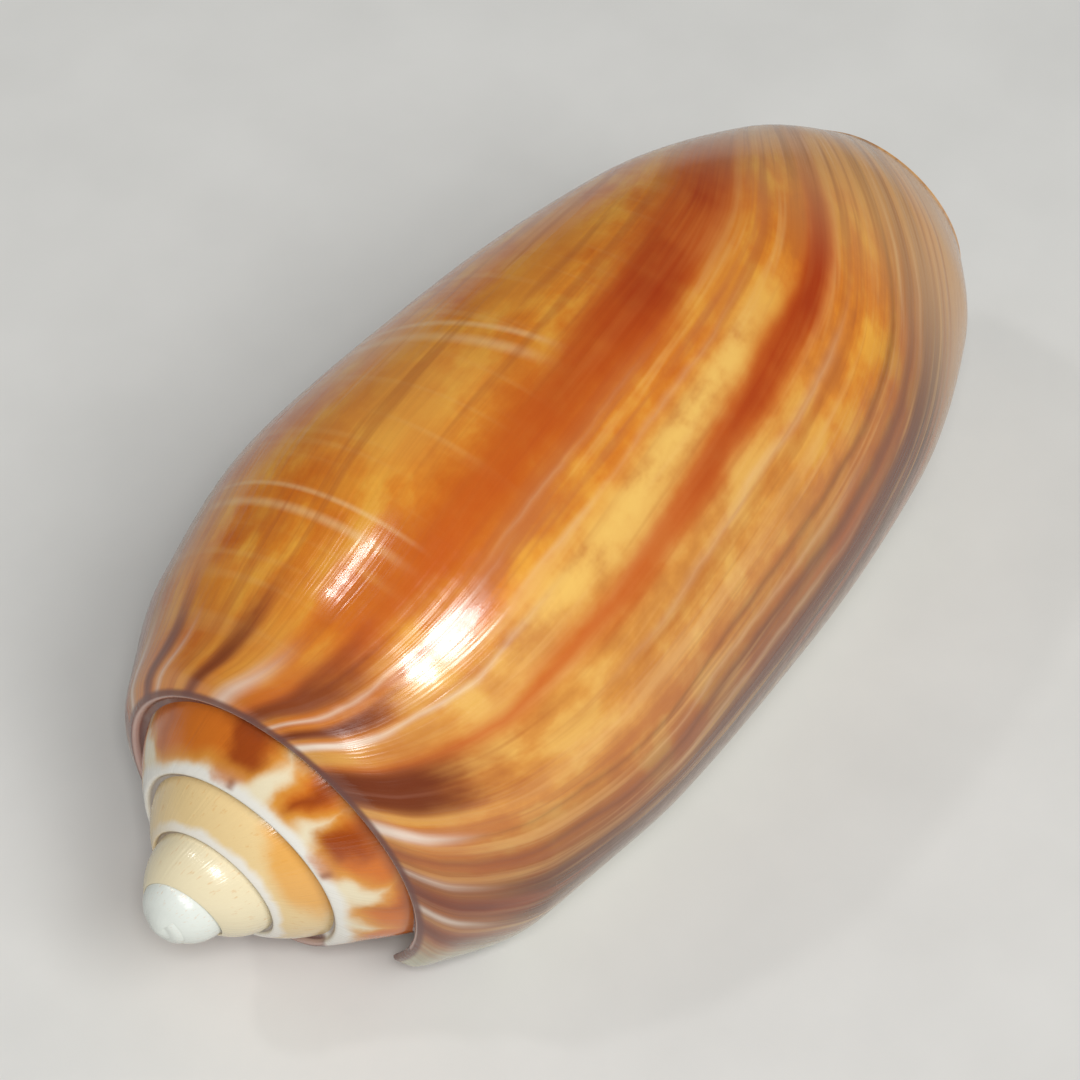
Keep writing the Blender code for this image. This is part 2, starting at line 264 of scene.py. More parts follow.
def folds(angle, x, share):
    """How far the folds stand out of the inner lip, and the band out of the front end."""
    past = angle - BODY_START
    at_lip = rise(past, FOLDS_RISE) * (1 - rise(past, FOLDS_FALL))
    phase = (x + FOLD_SLANT * past / 90) / FOLD_SPACING * 2 * math.pi
    height = mix(FOLD_HEIGHT, FRONT_FOLD_HEIGHT, smooth((share - STRONG_FROM) / STRONG_OVER))
    wave = (0.5 + 0.5 * np.cos(phase)) ** FOLD_SHARPNESS
    reach = rise(share, FOLDS_RISE_ALONG) * (1 - rise(share, FOLDS_FALL_ALONG))
    band_edge = BAND_EDGE + BAND_EDGE_GAIN * smooth(past / BAND_EDGE_OVER)
    band = smooth((share - band_edge) / BAND_STEP) * (1 - rise(past, BAND_FALL)) * rise(past, BAND_RISE)
    return height * wave * at_lip * reach + BAND_HEIGHT * band


def whorl(angle, v):
    """A point of a whorl's outer face. v is 0 to 1 on the strip by the rim, and 1 to 2 on to the front."""
    angle, v = np.broadcast_arrays(np.asarray(angle, float), np.asarray(v, float))
    opened = smooth((angle - BODY_START) / HIDDEN_BLEND)
    x0 = rim_x(angle)
    length = SHELL_LENGTH - x0
    along = np.minimum(v, 1.0)
    strip_x, strip_r = strip_place(angle, along)
    strip_x = mix(strip_x, x0 + along * BODY_STRIP_SHARE * length, opened)
    suture_x, seat = strip_place(angle, 1.0)
    suture_x = mix(suture_x, x0 + BODY_STRIP_SHARE * length, opened)
    long_x = mix(suture_x, front_x(angle), row_share(np.maximum(v - 1, 0.0)))
    taper = 1 - COLUMELLA_TAPER * np.maximum(0.0, BODY_START - angle) / TURN
    inner = taper * curve_through(COLUMELLA, (long_x - x0) / length)
    long_r = mix(seat, inner, smooth((long_x - suture_x) / SEAT_BLEND))
    x = np.where(v <= 1, strip_x, long_x)
    share = (x - x0) / length
    radius = mix(np.where(v <= 1, strip_r, long_r), body_radius(angle, share), opened)
    lifted = np.minimum(radius, rim_radius(angle + TURN * (1 - opened)))
    lift = SPIRE_LIFT * lifted * (1 - smooth(share / LIFT_FADE))
    radius = radius + np.where(v > 1, folds(angle, x, share), 0.0)
    return round_axis(angle, x, radius, lift), angle, v


def round_axis(angle, x, radius, lift):
    """Points at these angles round the axis. What would lie below the table is flat on it."""
    a = np.radians(angle)
    z = np.maximum(radius * np.cos(a) + lift, -AXIS_ABOVE_TABLE)
    return np.stack(np.broadcast_arrays(x, -radius * np.sin(a), z), -1)


def share_at(angle, v):
    """The share of the length from the rim to the front, the second coordinate of the markings."""
    x0 = rim_x(np.maximum(angle, BODY_START))
    length = SHELL_LENGTH - x0
    ahead = mix(BODY_STRIP_SHARE * length, front_x(angle) - x0, row_share(np.maximum(v - 1, 0.0)))
    return np.where(v <= 1, np.maximum(v, 0.0) * BODY_STRIP_SHARE, ahead / length)


def outer_side(step, row):
    return np.zeros(step.shape)


def inner_side(step, row):
    return np.ones(step.shape)


def sheet_of_faces(steps, rows, place, inside=outer_side):
    """A grid of faces with its points put where place says by step and row. Two maps go with it: growth
    has the growth line in turns and the share of the length, and whorl the growth angle and v. inside
    says how far each point is from the outer face, 0, to the inner one, 1."""
    bpy.ops.mesh.primitive_grid_add(x_subdivisions=steps, y_subdivisions=rows, size=2.0)
    patch = bpy.context.object
    mesh = patch.data
    flat = np.empty(len(mesh.vertices) * 3)
    mesh.vertices.foreach_get("co", flat)
    flat = flat.reshape(-1, 3)
    step = np.rint((flat[:, 0] + 1) / 2 * steps)
    row = np.rint((flat[:, 1] + 1) / 2 * rows)
    points, angle, v = place(step, row)
    mesh.vertices.foreach_set("co", points.ravel())
    share = share_at(angle, v)
    corner = np.empty(len(mesh.loops), int)
    mesh.loops.foreach_get("vertex_index", corner)
    while mesh.uv_layers:
        mesh.uv_layers.remove(mesh.uv_layers[0])
    growth = np.stack(((angle - curve_through(GROWTH_LINE, share)) / TURN, share), -1)
    for name, values in (("growth", growth), ("whorl", np.stack((angle / TURN, v), -1))):
        layer = mesh.uv_layers.new(name=name)
        layer.data.foreach_set("uv", values[corner].ravel())
    depth = mesh.attributes.new("inside", "FLOAT", "CORNER")
    depth.data.foreach_set("value", inside(step, row)[corner])
    return patch


# The outer face: the body whorl, and the strips of the older whorls that show on the spire. The rows of
# the body whorl run from the suture to the front, and its steps from under the lip round to the lip.
STEPS = 192
STRIP_ROWS = 14
LONG_ROWS = 154
FRONT_ROW = STRIP_ROWS + LONG_ROWS
LIP_ROUNDS = 3
LOWEST_LIP = 140.0
LIP_BEND = 2.0
FRONT_OF_LIP = 118.0
LIP_DOWN_AT = 0.25
LIP_BACK_FROM = 0.6


def v_at(row):
    return np.where(row <= STRIP_ROWS, row / STRIP_ROWS, 1 + (row - STRIP_ROWS) / LONG_ROWS)


def lip_angle(v):
    """Where the outer lip ends: it comes down to the table, and is drawn back at the front."""
    on_table = np.full(v.shape, LIP)
    for _ in range(LIP_ROUNDS):
        points = whorl(on_table, v)[0]
        reach = AXIS_ABOVE_TABLE / np.hypot(points[..., 1], points[..., 2])
        on_table = 180 - np.degrees(np.arccos(np.minimum(reach, 1.0)))
        on_table = (on_table + LOWEST_LIP - np.hypot(on_table - LOWEST_LIP, LIP_BEND)) / 2
    ahead = row_share(np.maximum(v - 1, 0.0))
    low = mix(LIP, on_table, smooth(ahead / LIP_DOWN_AT))
    drawn_back = smooth((ahead - LIP_BACK_FROM) / (1 - LIP_BACK_FROM))
    return np.where(v <= 1, LIP, mix(low, FRONT_OF_LIP, drawn_back))


def body(step, row):
    """The body whorl's outer face: step 0 is under the lip, and the last step is the lip."""
    v = v_at(row)
    return whorl(mix(BODY_START, lip_angle(v), step / STEPS), v)


def spire(step, row):
    angle = mix(SPIRE_START, BODY_START, step / (SPIRE_WHORLS * STEPS))
    return whorl(angle, row / STRIP_ROWS)


patches = [
    sheet_of_faces(STEPS, FRONT_ROW, body),
    sheet_of_faces(round(SPIRE_WHORLS * STEPS), STRIP_ROWS, spire),
]

# The rim and the channel inside it, along the suture from the apex to the notch at the back of the lip.
# In life a thread of the mantle lies in the channel, which keeps it open.
CHANNEL_ROWS = 4
RIM_ROWS = 3
NOTCH_STEPS = 8
RIM_ABOVE_CHANNEL = 0.2
CHANNEL_SAG = 0.9
RIM_ROUNDING = 0.25


def across_rim(angle, row):
    """Row 0 is the bottom of the channel, CHANNEL_ROWS the rim's inner edge, and the last its crest.
    For the markings v is -1 at the bottom and 0 on the crest."""
    depth, width = CHANNEL_DEPTH * rim_scale(angle), RIM_WIDTH * rim_scale(angle)
    edge_x, edge_r = rim_x(angle) + RIM_ABOVE_CHANNEL * depth, rim_radius(angle) - width
    low_x, low_r = suture(angle)
    up = np.clip(row / CHANNEL_ROWS, 0.0, 1.0)
    over = np.clip((row - CHANNEL_ROWS) / RIM_ROWS, 0.0, 1.0)
    hollow = CHANNEL_SAG * depth * up * (1 - up)
    x = mix(low_x, edge_x, up) + hollow
    radius = mix(low_r, edge_r, up) + hollow
    round_off = RIM_ROUNDING * width * np.sin(math.pi * over)
    x = np.where(over > 0, mix(edge_x, rim_x(angle), over) - round_off, x)
    radius = np.where(over > 0, mix(edge_r, rim_radius(angle), over), radius)
    lift = SPIRE_LIFT * np.where(row < 1, np.minimum(low_r, rim_radius(angle)), radius)
    points = round_axis(angle, x, radius, lift)
    bottom = whorl(angle - TURN, 1.0)[0]
    crest = whorl(angle, 0.0)[0]
    points = np.where((row == 0)[..., None], bottom, points)
    points = np.where((row == CHANNEL_ROWS + RIM_ROWS)[..., None], crest, points)
    return points, angle, row / (CHANNEL_ROWS + RIM_ROWS) - 1 + np.zeros(angle.shape)


def channel(step, row):
    return across_rim(SPIRE_START + TURN + step / STEPS * TURN, row)


patches.append(
    sheet_of_faces(round(SPIRE_WHORLS * STEPS) - NOTCH_STEPS, CHANNEL_ROWS + RIM_ROWS, channel)
)

# The hollow of the last whorl: the inside of its wall, the whorl within, their meeting at the back, and
# the deep end. The wall is thinner in front.
WALL = 0.0015
FRONT_WALL = 0.0011
WALL_THINS_OVER = 35
ROWS_BEFORE_HOLLOW = 7
FIRST_INNER = STRIP_ROWS + ROWS_BEFORE_HOLLOW
INNER_ROWS = FRONT_ROW - FIRST_INNER
SOLID_STEPS = 72
CAVITY_STEPS = STEPS - SOLID_STEPS
DEEP_END_TURN = 10.0
DEEP_END_TURNS_OVER = 21
DEEP_ROWS = 4


def blend(a, b, share):
    """The place and the markings' coordinates between two results of whorl."""
    share = np.asarray(share, float)
    return mix(a[0], b[0], share[..., None]), mix(a[1], b[1], share), mix(a[2], b[2], share)


def wall_inside(step, row):
    """The inside of the body whorl's wall."""
    here, angle, v = body(step, row)
    along = body(np.minimum(step + 1, STEPS), row)[0] - body(step - 1, row)[0]
    across = body(step, np.minimum(row + 1, FRONT_ROW))[0] - body(step, row - 1)[0]
    normal = np.cross(along, across)
    normal /= np.linalg.norm(normal, axis=-1, keepdims=True)
    to_front = smooth((row - FRONT_ROW + WALL_THINS_OVER) / WALL_THINS_OVER)
    return here - normal * mix(WALL, FRONT_WALL, to_front)[..., None], angle, v


def inner_whorl(step, row):
    """The whorl inside the aperture, right behind the same step of the body whorl."""
    return whorl(mix(BODY_START, LIP, step / STEPS) - TURN, v_at(row))


def deep_middle(step, row):
    points, angle, v = blend(wall_inside(step, row), inner_whorl(step, row), np.full(row.shape, 0.5))
    turn = np.radians(DEEP_END_TURN) * smooth((row - FIRST_INNER) / DEEP_END_TURNS_OVER)
    y = points[..., 1] * np.cos(turn) + points[..., 2] * np.sin(turn)
    z = points[..., 2] * np.cos(turn) - points[..., 1] * np.sin(turn)
    return np.stack((points[..., 0], y, z), -1), angle, v


def hollow_wall(step, row):
    return wall_inside(SOLID_STEPS + step, FIRST_INNER + row)


def hollow_floor(step, row):
    return inner_whorl(SOLID_STEPS + step, FIRST_INNER + row)


def ceiling(step, row):
    first = np.full(row.shape, float(FIRST_INNER))
    step = SOLID_STEPS + step
    return blend(inner_whorl(step, first), wall_inside(step, first), row / DEEP_ROWS)


def deep_end(step, row):
    """A rounded end between the wall and the whorl inside it."""
    row = FIRST_INNER + row
    first = np.full(row.shape, float(SOLID_STEPS))
    wall, floor, middle = wall_inside(first, row), inner_whorl(first, row), deep_middle(first, row)
    share = step / DEEP_ROWS
    straight = blend(wall, floor, share)
    bent = middle[0] - (wall[0] + floor[0]) / 2
    return straight[0] + bent * np.sin(math.pi * share)[..., None], straight[1], straight[2]


patches += [
    sheet_of_faces(CAVITY_STEPS, INNER_ROWS, hollow_wall, inner_side),
    sheet_of_faces(CAVITY_STEPS, INNER_ROWS, hollow_floor, inner_side),
    sheet_of_faces(CAVITY_STEPS - NOTCH_STEPS, DEEP_ROWS, ceiling, inner_side),
    sheet_of_faces(DEEP_ROWS, INNER_ROWS, deep_end, inner_side),
]

# The free edge of the wall, rounded, down the lip and round the front, from the outer face over a crest
# to the inner one.
EDGE_ROUNDING = 0.00045
EDGE_ROWS = 6


def edge(step, row, side):
    """side runs from 0 on the outer face over the crest to EDGE_ROWS on the inner one."""
    wall, inner = body(step, row), wall_inside(step, row)
    turned = np.pi * side / EDGE_ROWS
    points, angle, v = blend(wall, inner, (1 - np.cos(turned)) / 2)
    outwards = wall[0] - body(step - 1, row)[0]
    outwards /= np.linalg.norm(outwards, axis=-1, keepdims=True)
    out = np.where((step == STEPS)[..., None], outwards, 0.0)
    out = out + np.where((row == FRONT_ROW)[..., None], np.array((1.0, 0.0, 0.0)), 0.0)
    points = points + out * (EDGE_ROUNDING * np.sin(turned))[..., None]
    points[..., 2] = np.maximum(points[..., 2], -AXIS_ABOVE_TABLE)
    return points, angle, v


def front_edge(step, side):
    return edge(SOLID_STEPS + step, np.full(step.shape, float(FRONT_ROW)), side)


def lip_edge(row, side):
    return edge(np.full(row.shape, float(STEPS)), FIRST_INNER + row, side)


def over_edge(step, side):
    return side / EDGE_ROWS


patches += [
    sheet_of_faces(CAVITY_STEPS, EDGE_ROWS, front_edge, over_edge),
    sheet_of_faces(INNER_ROWS, EDGE_ROWS, lip_edge, over_edge),
]

# The notch at the back of the lip, where the rim stands free of the whorl inside it, and the two ends:
# the blunt tip of the spire and the end of the columella. Each is closed by faces from a loop of points
# to a middle.
FIRST_NOTCH = STEPS - NOTCH_STEPS
TIP_ROWS = 6
FLANGE_ROWS = 3
COLUMELLA_END_ROWS = 4
END_POWER = 1.8


def notch_flange(step, row):
    """From the inside of the wall to the rim's inner edge and over the rim."""
    angle = BODY_START + (FIRST_NOTCH + step) / STEPS * TURN
    first = np.full(row.shape, float(FIRST_INNER))
    inner = wall_inside(FIRST_NOTCH + step, first)
    free = across_rim(angle, np.maximum(row - FLANGE_ROWS, 0.0) + CHANNEL_ROWS)
    hidden = blend(inner, free, np.minimum(row / FLANGE_ROWS, 1.0))
    points = np.where((row <= FLANGE_ROWS)[..., None], hidden[0], free[0])
    return points, angle, np.zeros(angle.shape)


def notch_floor(step, row):
    return inner_whorl(FIRST_NOTCH + step, STRIP_ROWS + row)


def stack(*parts):
    """Several results of whorl, one after the other."""
    return tuple(np.concatenate([np.atleast_1d(part[k]) for part in parts]) for k in range(3))


def cap(loop, tip, rows, inside=outer_side):
    """Faces from a closed loop of points to the rounded tip, or to their middle if there is none."""
    points, angle, v = loop
    count = len(points)
    tip = points.mean(0) if tip is None else np.array(tip)

    def place(step, ring):
        out = (1 - ring / rows)[..., None]
        i = step.astype(int) % count
        at = mix(tip, points[i], out)
        at[..., 0] = mix(tip[0], points[i, 0], out[..., 0] ** END_POWER)
        return at, angle[i], v[i]

    return sheet_of_faces(count, rows, place, inside)


def run(first, last, count=None):
    """Whole numbers from first to last, or the same number count times."""
    if count:
        return np.full(count, float(first))
    return np.arange(first, last + (1 if last > first else -1), 1 if last > first else -1).astype(float)


across = run(CHANNEL_ROWS, 0)
bridge = stack(
    across_rim(np.full(across.shape, BODY_START + FIRST_NOTCH / STEPS * TURN), across),
    inner_whorl(run(FIRST_NOTCH, 0, ROWS_BEFORE_HOLLOW), run(STRIP_ROWS + 1, FIRST_INNER)),
    ceiling(run(FIRST_NOTCH - SOLID_STEPS, 0, DEEP_ROWS), run(1, DEEP_ROWS)),
    notch_flange(run(0, 0, FLANGE_ROWS - 1), run(1, FLANGE_ROWS - 1)),
)
lip_end = stack(
    body(run(STEPS, 0, FIRST_INNER + 1), run(0, FIRST_INNER)),
    edge(run(STEPS, 0, EDGE_ROWS), run(FIRST_INNER, 0, EDGE_ROWS), run(1, EDGE_ROWS)),
    notch_flange(run(NOTCH_STEPS, 0, FLANGE_ROWS + RIM_ROWS - 1), run(1, FLANGE_ROWS + RIM_ROWS - 1)),
)
tip_steps = run(0, STEPS)
rim_rows = run(CHANNEL_ROWS + RIM_ROWS - 1, 1)
tip_loop = stack(
    whorl(SPIRE_START + tip_steps / STEPS * TURN, np.zeros(tip_steps.shape)),
    across_rim(np.full(rim_rows.shape, SPIRE_START + TURN), rim_rows),
    whorl(np.full(STRIP_ROWS, SPIRE_START), run(STRIP_ROWS, 1) / STRIP_ROWS),
)
solid = run(0, SOLID_STEPS)
front_loop = stack(
    body(solid, np.full(solid.shape, float(FRONT_ROW))),
    edge(run(SOLID_STEPS, 0, EDGE_ROWS), run(FRONT_ROW, 0, EDGE_ROWS), run(1, EDGE_ROWS)),
    deep_end(run(1, DEEP_ROWS), run(INNER_ROWS, 0, DEEP_ROWS)),
    inner_whorl(run(SOLID_STEPS + 1, STEPS - 1), run(FRONT_ROW, 0, CAVITY_STEPS - 1)),
)


def off_flange(step, row):
    return np.maximum(1 - row / FLANGE_ROWS, 0.0)


def on_front(step, ring):
    """The loop's first steps are on the outer face, and all its others and the tip on the inner one."""
    return np.where((step <= SOLID_STEPS) & (ring == 0), 0.0, 1.0)


patches += [
    sheet_of_faces(NOTCH_STEPS, FLANGE_ROWS + RIM_ROWS, notch_flange, off_flange),
    sheet_of_faces(NOTCH_STEPS, ROWS_BEFORE_HOLLOW, notch_floor),
    cap(bridge, None, 1),
    cap(lip_end, None, 1),
    cap(tip_loop, (0.0, 0.0, 0.0), TIP_ROWS),
    cap(front_loop, (SHELL_LENGTH, 0.0, 0.0), COLUMELLA_END_ROWS, on_front),
]

# All patches joined along their shared edges into one closed skin, which is put where the solid is and
# shaded smooth, apart from its sharp edges.
MERGE = 2e-6
for patch in patches:
    patch.select_set(True)
bpy.context.view_layer.objects.active = patches[0]
bpy.ops.object.join()
shell = bpy.context.object
shell.name = "olive_shell_skin"
bpy.ops.object.mode_set(mode="EDIT")
bpy.ops.mesh.select_all(action="SELECT")
bpy.ops.mesh.remove_doubles(threshold=MERGE)
bpy.ops.mesh.normals_make_consistent(inside=False)
bpy.ops.object.mode_set(mode="OBJECT")
low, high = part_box("shell")
corners = np.array([vertex.co[:] for vertex in shell.data.vertices])
middle = (corners.min(0) + corners.max(0)) / 2
shell.data.transform(
    Matrix.Translation(
        ((low[0] + high[0]) / 2 - middle[0], (low[1] + high[1]) / 2 - middle[1], AXIS_ABOVE_TABLE)
    )
)
bpy.ops.object.shade_smooth_by_angle(angle=math.radians(50))


# The enamel: polished aragonite, which the mantle lays down in thin glassy layers over the colour. It
# gives sharp reflections with a soft glow under them, and faint waves along the growth lines.
def linear(code):
    """An sRGB hex value as linear RGBA."""
    parts = [int(code[k : k + 2], 16) / 255 for k in (1, 3, 5)]
    return [c / 12.92 if c <= 0.04045 else ((c + 0.055) / 1.055) ** 2.4 for c in parts] + [1.0]


def add(material, kind, inputs=None, **settings):
    """Adds a node to the material with its settings, and sets or links its inputs."""
    tree = material.node_tree
    made = tree.nodes.new(kind)
    for name, value in settings.items():
        setattr(made, name, value)
    for place, value in (inputs or {}).items():
        if isinstance(value, bpy.types.NodeSocket):
            tree.links.new(value, made.inputs[place])
        else:
            made.inputs[place].default_value = value
    return made


# Sizes of the patterns in millimetres. One turn of the body whorl is about 95 mm round, and the way
# from its rim to the front 52 mm. On the spire a turn is about 38 mm, and a strip 2.4 mm wide.
ROUND_MM = 95.0
LONG_MM = 52.0
SPIRE_ROUND_MM = 38.0
STRIP_MM = 2.4

enamel = bpy.data.materials.new("aragonite_enamel")
enamel.use_nodes = True
enamel.node_tree.nodes.clear()
growth_map = add(enamel, "ShaderNodeUVMap", uv_map="growth").outputs[0]
whorl_map = add(enamel, "ShaderNodeUVMap", uv_map="whorl").outputs[0]
growth_parts = add(enamel, "ShaderNodeSeparateXYZ", {0: growth_map})
whorl_parts = add(enamel, "ShaderNodeSeparateXYZ", {0: whorl_map})
share = growth_parts.outputs[1]
v = whorl_parts.outputs[1]
angle = add(enamel, "ShaderNodeMath", {0: whorl_parts.outputs[0], 1: TURN}, operation="MULTIPLY").outputs[0]
inside = add(enamel, "ShaderNodeAttribute", attribute_name="inside").outputs["Fac"]

# Noise by its grain in millimetres across the growth lines and along them, on the body or the spire.
on_body = (growth_map, ROUND_MM, LONG_MM)
on_spire = (whorl_map, SPIRE_ROUND_MM, STRIP_MM)
grains = {}
for name, (place, round_mm, long_mm), across_mm, along_mm, detail, rough in (
    ("drift", on_body, 16.0, 30.0, 2.0, 0.5),
    ("streak", on_body, 1.5, 22.0, 3.0, 0.6),
    ("hair", on_body, 0.45, 14.0, 2.0, 0.6),
    ("mottle", on_body, 3.0, 4.0, 4.0, 0.55),
    ("cloud", on_body, 8.0, 6.0, 3.0, 0.5),
    ("spiral", on_body, 40.0, 1.2, 2.0, 0.5),
    ("speck", on_body, 0.9, 0.7, 3.0, 0.6),
    ("patch", on_spire, 3.4, 2.6, 2.0, 0.5),
    ("fleck", on_spire, 1.2, 1.0, 3.0, 0.55),
):
    scaled = add(
        enamel,
        "ShaderNodeVectorMath",
        {0: place, 1: (round_mm / across_mm, long_mm / along_mm, 0.0)},
        operation="MULTIPLY",
    )
    grains[name] = add(
        enamel,
        "ShaderNodeTexNoise",
        {"Vector": scaled.outputs[0], "Scale": 1.0, "Detail": detail, "Roughness": rough},
        noise_dimensions="2D",
    ).outputs[0]


def swayed(value, *sways):
    """The value with each named noise added, which moves it to and fro by about that much."""
    for name, sway in sways:
        centred = add(enamel, "ShaderNodeMath", {0: grains[name], 1: 0.5}, operation="SUBTRACT").outputs[0]
        value = add(
            enamel, "ShaderNodeMath", {0: centred, 1: sway, 2: value}, operation="MULTIPLY_ADD"
        ).outputs[0]
    return value


def flames(place, along, near, far, table):
    """How strong the flames of a table are here. Each has its place, its half width at the near and at
    the far end, its soft edge and its strength."""
    total = 0.0
    for centre, near_width, far_width, soft, strength in table:
        off = add(enamel, "ShaderNodeMath", {0: place, 1: centre}, operation="SUBTRACT").outputs[0]
        off = add(enamel, "ShaderNodeMath", {0: off}, operation="ABSOLUTE").outputs[0]
        width = add(
            enamel,
            "ShaderNodeMapRange",
            {"Value": along, "From Min": near, "From Max": far, "To Min": near_width, "To Max": far_width},
        ).outputs[0]
        off = add(enamel, "ShaderNodeMath", {0: off, 1: width}, operation="SUBTRACT").outputs[0]
        flame = add(
            enamel,
            "ShaderNodeMapRange",
            {"Value": off, "From Min": -soft, "From Max": soft, "To Min": strength, "To Max": 0.0},
            interpolation_type="SMOOTHSTEP",
        ).outputs[0]
        total = add(enamel, "ShaderNodeMath", {0: flame, 1: total}, operation="MAXIMUM").outputs[0]
    return total


def coat(under, colour, strength, *bounds):
    """A coat of pigment over what is there. Each bound is a value, and where in it the coat is nowhere
    and where it is full."""
    for value, none_at, full_at in bounds:
        cover = add(
            enamel,
            "ShaderNodeMapRange",
            {"Value": value, "From Min": none_at, "From Max": full_at},
            interpolation_type="SMOOTHSTEP",
        ).outputs[0]
        strength = add(enamel, "ShaderNodeMath", {0: cover, 1: strength}, operation="MULTIPLY").outputs[0]
    pigment = linear(colour) if isinstance(colour, str) else colour
    mixed = add(enamel, "ShaderNodeMix", {0: strength, 6: under, 7: pigment}, data_type="RGBA")
    return mixed.outputs[2]


# The growth line in degrees, drawn a little to and fro.
growth_angle = add(enamel, "ShaderNodeMath", {0: growth_parts.outputs[0], 1: TURN}, operation="MULTIPLY")
line = swayed(growth_angle.outputs[0], ("drift", 6.0), ("cloud", 4.0), ("streak", 1.6), ("hair", 0.6))

# The ground of the back is orange, yellower towards the lip and mottled, with soft pale spiral bands.
ramp = add(enamel, "ShaderNodeValToRGB", {0: grains["mottle"]})
stops = ramp.color_ramp.elements
for stop, (position, colour) in zip(stops, ((0.30, "#CF6C18"), (0.70, "#ECA83E"))):
    stop.position = position
    stop.color = linear(colour)
middle_stop = stops.new(0.50)
middle_stop.color = linear("#DE8526")
skin = coat(ramp.outputs[0], "#E69C38", 0.5, (grains["cloud"], 0.48, 0.66))
skin = coat(skin, "#C0601E", 0.35, (grains["cloud"], 0.46, 0.30))
skin = coat(skin, "#D29A50", 0.6, (line, 26.0, 36.0), (line, 80.0, 58.0), (share, 0.78, 0.42))
skin = coat(skin, "#EDBE68", 0.5, (line, 26.0, 36.0), (grains["mottle"], 0.44, 0.68), (share, 0.70, 0.40))
skin = coat(skin, "#BC7434", 0.4, (line, 26.0, 36.0), (grains["mottle"], 0.50, 0.32))
skin = coat(skin, "#EBB468", 0.3, (grains["spiral"], 0.54, 0.74), (line, 24.0, 0.0))
for at, half, tilt in (
    (0.170, 0.007, 0.0),
    (0.190, 0.004, 0.0),
    (0.428, 0.012, 0.0010),
    (0.452, 0.007, 0.0010),
):
    slanted = add(enamel, "ShaderNodeMath", {0: angle, 1: -tilt, 2: share}, operation="MULTIPLY_ADD")
    away = add(enamel, "ShaderNodeMath", {0: slanted.outputs[0], 1: at}, operation="SUBTRACT").outputs[0]
    away = add(enamel, "ShaderNodeMath", {0: away}, operation="ABSOLUTE").outputs[0]
    on_left = ((line, 16.0, -4.0), (line, -60.0, -40.0))
    skin = coat(skin, "#F1CB92", 0.42, (away, half, 0.0), *on_left, (grains["drift"], 0.3, 0.5))
between_bands = ((share, 0.20, 0.28), (share, 0.44, 0.36))
skin = coat(skin, "#EFAA50", 0.35, (line, 10.0, -4.0), (line, -36.0, -20.0), *between_bands)
skin = coat(skin, "#B4602E", 0.2, (line, -18.0, -36.0), (share, 0.16, 0.22), (share, 0.44, 0.32))
skin = coat(skin, "#603A20", 0.85, (line, -38.0, -64.0))
# Painted shade and reflection: towards the lip the ground darkens to a dark brown band, partly the shell's
# own dark line along that edge, and past it a painted grey reflection.
skin = coat(skin, "#8A4A22", 0.75, (line, 58.0, 80.0), (share, 0.98, 0.84))
skin = coat(skin, "#4A2C1C", 0.88, (line, 76.0, 92.0), (line, 112.0, 96.0), (share, 0.92, 0.80))
skin = coat(skin, "#8A7458", 0.55, (line, 96.0, 110.0))
skin = coat(skin, "#EAB66E", 0.40, (grains["streak"], 0.52, 0.72), (line, 6.0, 20.0))
skin = coat(skin, "#B5632A", 0.45, (grains["streak"], 0.48, 0.30))
skin = coat(skin, "#A56238", 0.30, (grains["hair"], 0.46, 0.30), (line, 40.0, 80.0))

# The flames: orange-red, and red-brown in the middle towards the front. Pinkish lines run between the
# two great ones, with a yellow mottled strip beside the second and pale lines along it.
between_flames = flames(line, share, 0.1, 0.7, ((22.0, 3.0, 6.0, 4.0, 1.0),))
skin = coat(skin, "#C2703C", 0.65, (between_flames, 0.0, 1.0), (grains["streak"], 0.64, 0.36))
yellow_strip = flames(line, share, 0.1, 0.7, ((34.5, 3.0, 3.0, 4.0, 1.0),))
mid_length = ((share, 0.1, 0.25), (share, 0.72, 0.54))
skin = coat(skin, "#F1C468", 0.8, (yellow_strip, 0.0, 1.0), (grains["mottle"], 0.24, 0.56), *mid_length)
body_flames = flames(
    line,
    share,
    0.08,
    0.66,
    (
        (12.5, 2.0, 8.0, 7.5, 1.0),
        (43.0, 0.8, 4.0, 4.5, 1.0),
        (-62.0, 3.0, 6.0, 5.0, 0.6),
        (-96.0, 2.0, 7.0, 5.0, 0.9),
        (-131.0, 1.0, 4.0, 4.0, 0.8),
        (-158.0, 3.0, 8.0, 5.0, 0.7),
    ),
)
skin = coat(skin, "#C45618", 0.80, (body_flames, 0.0, 0.8))
ahead = (share, 0.20, 0.72)
skin = coat(skin, "#A42A06", 0.75, (body_flames, 0.3, 1.0), ahead, (grains["streak"], 0.85, 0.34))
ahead = (share, 0.34, 0.62)
skin = coat(skin, "#961F04", 0.60, (body_flames, 0.4, 1.0), ahead, (grains["cloud"], 0.76, 0.30))
brown_lines = flames(
    line,
    share,
    0.08,
    0.66,
    (
        (67.5, 0.4, 1.4, 1.6, 0.60),
        (76.0, 0.6, 2.0, 2.0, 0.70),
        (86.0, 1.2, 3.4, 2.5, 1.0),
    ),
)
skin = coat(skin, "#6A3820", 0.8, (brown_lines, 0.0, 1.0))
pale_lines = flames(
    line,
    share,
    0.1,
    0.7,
    (
        (20.5, 0.1, 0.3, 1.6, 0.8),
        (29.0, 0.1, 0.4, 1.8, 0.9),
        (52.0, 0.1, 0.5, 2.4, 1.0),
        (72.0, 0.1, 0.5, 1.8, 0.9),
        (81.0, 0.1, 0.5, 1.8, 1.0),
    ),
)
past_shoulder = (share, 0.14, 0.30)
skin = coat(skin, "#E8C294", 0.45, (pale_lines, 0.0, 1.0), past_shoulder, (grains["drift"], 0.36, 0.52))

